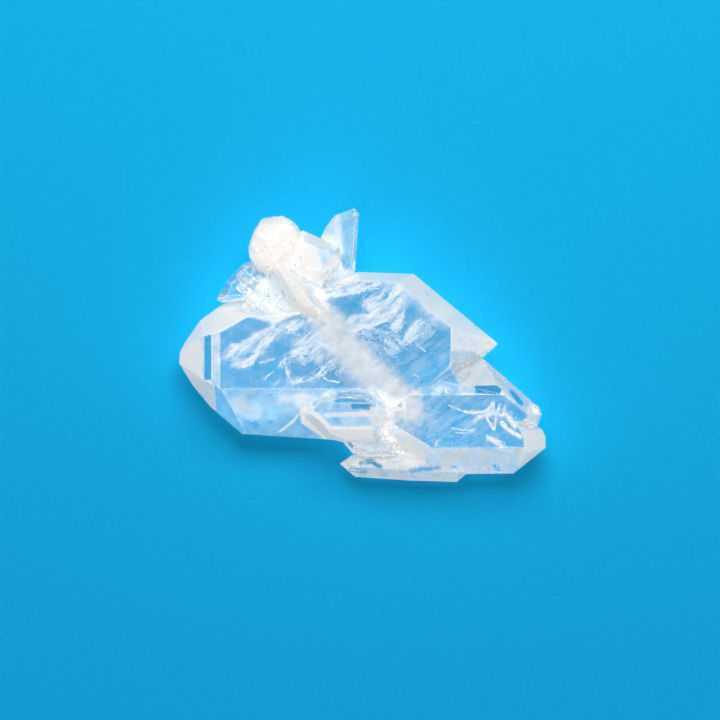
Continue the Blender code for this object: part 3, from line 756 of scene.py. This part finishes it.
def plan_share(points, zone):
    """How far each point is within a zone that is an area or a line in plan, from 0 to 1."""
    fade = zone["fade"]
    if "line" in zone:
        return 1 - soft_step(fade / 4, fade, from_line(points[:, :2], zone["line"]))
    return soft_step(-fade / 2, fade / 2, inside_area(points[:, :2], zone["area"]))


def coat_share(points, slopes, facings, coat):
    """How much of a coat lies at each point, from 0 to 1."""
    share = plan_share(points, coat)
    least, most = coat.get("slopes", ANY_SLOPE)
    start, end = coat.get("facing", ALL_ROUND)
    turned = (facings - start) % 360 <= (end - start) % 360 if (start, end) != ALL_ROUND else True
    return share * ((slopes >= least) & (slopes <= most) & turned)


def coats_at(points, normals):
    """(milk, stain and painted shade, grit) of each point of a face with that normal."""
    slopes = np.degrees(np.arccos(np.clip(normals[:, 2], -1, 1)))
    facings = np.degrees(np.arctan2(normals[:, 1], normals[:, 0])) % 360
    made = np.empty((len(points), 3))
    made[:] = RIM_COAT
    made[slopes < TABLE_SLOPE] = TABLE_COAT
    made[slopes > LOWER_SLOPE] = LOWER_COAT
    made[slopes > 180 - TABLE_SLOPE] = BASE_COAT
    for coat in COATS.values():
        share = coat_share(points, slopes, facings, coat)[:, None]
        made = made * (1 - share) + np.array(coat["coat"]) * share
    return made


def streaks_at(points, normals):
    """How streaked the quartz looks through each point."""
    made = np.zeros(len(points))
    for zone in STREAKED:
        share = plan_share(points, zone)
        made = made * (1 - share) + zone["amount"] * share
    return made * (normals[:, 2] > math.cos(math.radians(TABLE_SLOPE)))


def longest_edges(middles):
    """The longest that an edge may be, in mm, by its middle."""
    longest = np.full(len(middles), FINE_EDGE)
    longest[np.linalg.norm(middles - np.array(KNOB), axis=1) < KNOB_REACH[1]] = KNOB_EDGE
    for coat in COATS.values():
        if coat["fade"] > SHARP_FADE:
            continue
        corners = coat["area"] + coat["area"][:1]
        near = (from_line(middles[:, :2], corners) < SHARP_EDGE * 2) & (middles[:, 2] > SHARP_ABOVE)
        longest[near] = SHARP_EDGE
    return longest


def split_long_edges(mesh):
    """Halves the edges that are too long, a few times over."""
    for _ in range(SPLITS):
        ends = np.array([[vertex.co / MM for vertex in edge.verts] for edge in mesh.edges])
        lengths = np.linalg.norm(ends[:, 0] - ends[:, 1], axis=1)
        too_long = lengths > longest_edges(ends.mean(axis=1))
        edges = [edge for edge, split in zip(mesh.edges, too_long) if split]
        bmesh.ops.subdivide_edges(mesh, edges=edges, cuts=1)
        bmesh.ops.triangulate(mesh, faces=[face for face in mesh.faces if len(face.verts) > 3])


def fine_crystals():
    """The cluster's own faces in a fine mesh."""
    mesh = bmesh.new()
    mesh.from_mesh(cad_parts[NODE].data)
    bmesh.ops.remove_doubles(mesh, verts=mesh.verts, dist=SAME_POINT)
    bmesh.ops.dissolve_limit(mesh, angle_limit=SAME_FACE, verts=mesh.verts, edges=mesh.edges)
    bmesh.ops.triangulate(mesh, faces=mesh.faces)
    split_long_edges(mesh)
    mesh.normal_update()
    mesh.verts.index_update()
    return mesh


def melt(mesh, area, times, heights_only):
    """Eases the upper faces of an area into each other, as crystals that have run together."""
    places = np.array([vertex.co / MM for vertex in mesh.verts])
    inside = inside_area(places[:, :2], area) > 0
    chosen = [vertex for vertex, within in zip(mesh.verts, inside) if within and vertex.normal.z > 0]
    sideways = not heights_only
    for _ in range(times):
        bmesh.ops.smooth_vert(
            mesh, verts=chosen, factor=0.5, use_axis_x=sideways, use_axis_y=sideways, use_axis_z=True
        )


def sugar_knob(mesh):
    """Raises blunt grains on the knob, like wet sugar."""
    whole, end = KNOB_REACH
    for vertex in mesh.verts:
        place = vertex.co / MM
        away = (place - KNOB).length
        if away > end:
            continue
        share = min(1.0, (end - away) / (end - whole))
        distances, _ = noise.voronoi(place * SUGAR_PER_MM)
        raised = (distances[1] - distances[0]) - SUGAR_LEVEL
        vertex.co += vertex.normal * (raised * share * SUGAR * MM)


def paint(mesh, data):
    """Writes the coats to the corners of the mesh."""
    corners = [(loop.vert.co / MM, face.normal) for face in mesh.faces for loop in face.loops]
    points = np.array([place for place, _ in corners])
    normals = np.array([normal for _, normal in corners])
    edged = {vertex.index for edge in mesh.edges if edge.calc_face_angle(0) > CREASE for vertex in edge.verts}
    on_edge = np.array([loop.vert.index in edged for face in mesh.faces for loop in face.loops])
    values = coats_at(points, normals)
    away = np.linalg.norm(points - np.array(KNOB), axis=1)
    knob = 1 - soft_step(*KNOB_REACH, away)[:, None]
    values = values * (1 - knob) + np.array(KNOB_COAT) * knob
    # Upper creases are whitened: chips, and a painted highlight along the edges.
    crease = on_edge & (normals[:, 2] > 0)
    values[:, 0] = np.where(crease, np.maximum(values[:, 0], CREASE_CHIPS_AND_HIGHLIGHT), values[:, 0])
    values = np.column_stack([values, streaks_at(points, normals)])
    for column, name in enumerate(LAYERS):
        layer = data.attributes.new(name, "FLOAT", "CORNER")
        layer.data.foreach_set("value", values[:, column].astype(np.float32))


def placed(name, data, material):
    """A new piece of the specimen, with its material."""
    item = bpy.data.objects.new(name, data)
    bpy.context.scene.collection.objects.link(item)
    data.materials.append(material)
    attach(item, "root")
    return item


def crystals():
    """The cluster, shaped in a fine mesh and painted by where its flat faces were."""
    mesh = fine_crystals()
    data = bpy.data.meshes.new("crystals")
    flat_faces = mesh.copy()
    for facts in MELTED:
        melt(mesh, **facts)
    sugar_knob(mesh)
    for face in mesh.faces:
        face.smooth = False
    mesh.to_mesh(data)
    paint(flat_faces, data)
    mesh.free()
    flat_faces.free()
    item = placed("crystals", data, quartz_material())
    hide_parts(NODE)
    return item


def along_line(line, shares):
    """Points on a line through the given points, at each share of its length, and the ways it runs there."""
    line = np.array(line)
    strides = np.diff(line, axis=0)
    steps = np.linalg.norm(strides, axis=1)
    ends = np.concatenate([[0], np.cumsum(steps)]) / steps.sum()
    index = np.clip(np.searchsorted(ends, shares) - 1, 0, len(steps) - 1)
    places = np.stack([np.interp(shares, ends, line[:, axis]) for axis in range(2)], axis=1)
    return places, (strides / steps[:, None])[index]


def flakes(dice, places, size):
    """Corners of a small uneven triangle at each place, lying nearly flat."""
    count = len(places)
    stray = dice.uniform(0, 2 * math.pi, (count, 1)) + THIRDS
    turn = stray + dice.uniform(-CORNER_TURN, CORNER_TURN, (count, 3))
    reach = dice.uniform(*size, (count, 1)) * CORNER_REACH
    flat = np.stack([np.cos(turn) * reach, np.sin(turn) * reach], axis=2)
    rise = (flat * dice.normal(0, FLAKE_TILT, (count, 1, 2))).sum(axis=2)
    return places[:, None, :] + np.concatenate([flat, rise[:, :, None]], axis=2)


def splinters(dice, places, ways, size, stretch):
    """Corners of a thin splinter at each place, lying roughly along its way."""
    count = len(places)
    turn = np.arctan2(ways[:, 1], ways[:, 0]) + dice.normal(0, SPLINTER_TURN, count)
    along = np.stack([np.cos(turn), np.sin(turn), dice.normal(0, SPLINTER_RISE, count)], axis=1)
    across = np.stack([-np.sin(turn), np.cos(turn), dice.normal(0, SPLINTER_ROLL, count)], axis=1)
    width = dice.uniform(*size, (count, 1)) / 2
    length = width * dice.uniform(0.5, 1.5, (count, 1)) * stretch
    tip = dice.uniform(-SPLINTER_TIP, SPLINTER_TIP, (count, 1)) * length
    corners = [places - along * length, places + along * length, places + across * width * 2 + along * tip]
    return np.stack(corners, axis=1)


def in_patches(dice, places, ways, patchy, patch):
    """Whether each place lies in a patch. The patches are drawn out along the run."""
    turned = np.arctan2(ways[:, 1], ways[:, 0])
    along = places[:, 0] * np.cos(turned) + places[:, 1] * np.sin(turned)
    across = places[:, 1] * np.cos(turned) - places[:, 0] * np.sin(turned)
    drawn = np.stack([along / PATCH_STRETCH, across, places[:, 2]], axis=1) / patch
    thick = np.array([noise.noise(Vector(place)) for place in drawn])
    return thick > dice.normal(PATCH_GAIN * patchy - PATCH_LEVEL, PATCH_EDGE, len(places))


def run_of_flakes(
    dice, line, height, spread, count, depth=0.25, size=(0.07, 0.12), patchy=0.0, patch=0.5, stretch=0
):
    """A run of flakes or, with a stretch, of splinters, thick along its line and thin at its sides."""
    middle, ways = along_line(line, dice.random(count))
    places = np.column_stack([middle, np.full(count, height)])
    places += dice.normal(0, 1, (count, 3)) * (spread, spread, depth)
    if patchy:
        kept = in_patches(dice, places, ways, patchy, patch)
        places, ways = places[kept], ways[kept]
    if stretch:
        return splinters(dice, places, ways, size, stretch)
    return flakes(dice, places, size)


def bubbles(dice, line, height, spread, count, radius):
    """Small rings of flakes, brighter than what is round them."""
    made = []
    for x, y in along_line(line, dice.random(count))[0] + dice.normal(0, spread, (count, 2)):
        ring = dice.uniform(*radius)
        turn = dice.uniform(0, 2 * math.pi, RING_FLAKES)
        heights = height + dice.normal(0, RING_DEPTH, RING_FLAKES)
        places = np.stack([x + ring * np.cos(turn), y + ring * np.sin(turn), heights], axis=1)
        made.append(flakes(dice, places, RING_SIZE))
    return np.concatenate(made)


def within_quartz(flakes_corners):
    """Leaves out each flake that isn't inside the quartz with both ends of the box round it.

    Straight up from a place inside lies an odd number of faces.
    """
    mesh = bmesh.new()
    mesh.from_mesh(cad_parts[NODE].data)
    tree = bvhtree.BVHTree.FromBMesh(mesh)
    mesh.free()

    def inside(place):
        met = 0
        while place is not None and met < MOST_FACES_MET:
            place = tree.ray_cast(place, UP)[0]
            met += place is not None
            place = place and place + UP * SKIN * MM
        return met % 2 == 1

    kept = [
        inside(Vector(corners.max(axis=0)) * MM) and inside(Vector(corners.min(axis=0)) * MM)
        for corners in flakes_corners
    ]
    return flakes_corners[np.array(kept)]


def flakes_object(name, runs, material):
    points = within_quartz(np.concatenate(runs)).reshape(-1, 3) * MM
    data = bpy.data.meshes.new(name)
    data.from_pydata(points.tolist(), [], np.arange(len(points)).reshape(-1, 3).tolist())
    return placed(name, data, material)


def inclusions():
    """The thread, and the wisps, fractures and bubbles."""
    dice = np.random.default_rng(SEED)
    thread_white = flake_material("milky_thread", THREAD_WHITES)
    veil_white = flake_material("milky_veil", VEIL_WHITES)
    thread = flakes_object("faden", [run_of_flakes(dice, **facts) for facts in FADEN], thread_white)
    plain_wisp = dict(size=WISP_SIZE, stretch=WISP_STRETCH)
    wisps = [run_of_flakes(dice, **{**plain_wisp, **facts}) for facts in VEILS]
    wisps.append(bubbles(dice, **BUBBLES))
    return [thread, flakes_object("veils", wisps, veil_white)]


def floor():
    mesh = bmesh.new()
    bmesh.ops.create_grid(mesh, x_segments=1, y_segments=1, size=FLOOR_SIDE / 2)
    data = bpy.data.meshes.new("paper")
    mesh.to_mesh(data)
    mesh.free()
    item = bpy.data.objects.new("paper", data)
    item.location.z = -FLOOR_DROP
    data.materials.append(paper_material())
    bpy.context.scene.collection.objects.link(item)


def lamp(name, place, size, energy):
    """A soft box that faces the specimen."""
    data = bpy.data.lights.new(name, "AREA")
    data.shape = "RECTANGLE"
    data.size, data.size_y = size
    data.energy = energy
    item = bpy.data.objects.new(name, data)
    item.location = place
    item.rotation_euler = (-item.location).to_track_quat("-Z", "Y").to_euler()
    bpy.context.scene.collection.objects.link(item)
    return item


def linked_collection(name, items, state):
    made = bpy.data.collections.new(name)
    for item in items:
        made.objects.link(item)
    for row in made.collection_objects:
        row.light_linking.link_state = state
    return made


def shine_through(light, glass):
    """Lets a lamp light what is inside and under a piece, as clear quartz does."""
    made = linked_collection(f"passed_by_{light.name}", [glass], "EXCLUDE")
    light.light_linking.blocker_collection = made


def shine_only_on(light, items):
    """Keeps a lamp's light for these pieces."""
    made = linked_collection(f"lit_by_{light.name}", items, "INCLUDE")
    light.light_linking.receiver_collection = made


def sky():
    """Even pale light from all round."""
    world = bpy.data.worlds.new("studio")
    world.use_nodes = True
    background = world.node_tree.nodes["Background"]
    background.inputs["Color"].default_value = (*SKY, 1.0)
    background.inputs["Strength"].default_value = SKY_STRENGTH
    bpy.context.scene.world = world


def lights(glass, inside):
    sky()
    shine_through(lamp("overhead", **OVERHEAD), glass)
    lamp("key", **KEY)
    # Light that enters the sides of the crystals and comes out all over them. It leaves no glints.
    for name, facts in FILLS.items():
        fill = lamp(name, **facts)
        fill.visible_glossy = False
        shine_through(fill, glass)
        shine_only_on(fill, [glass, *inside])


def camera():
    data = bpy.data.cameras.new("camera")
    data.sensor_width = SENSOR
    data.lens = SENSOR * CAMERA_AWAY / (PIXEL * PICTURE)
    data.clip_start, data.clip_end = 0.01, 20
    item = bpy.data.objects.new("camera", data)
    item.location = (*LOOKS_AT, RIM_HEIGHT + CAMERA_AWAY)
    bpy.context.scene.collection.objects.link(item)
    bpy.context.scene.camera = item


def let_light_wander():
    for kind in ("max_bounces", "diffuse_bounces", "glossy_bounces", "transmission_bounces"):
        setattr(bpy.context.scene.cycles, kind, BOUNCES)


bpy.context.scene.view_settings.view_transform = "Standard"
let_light_wander()
floor()
cluster = crystals()
lights(cluster, inclusions())
camera()
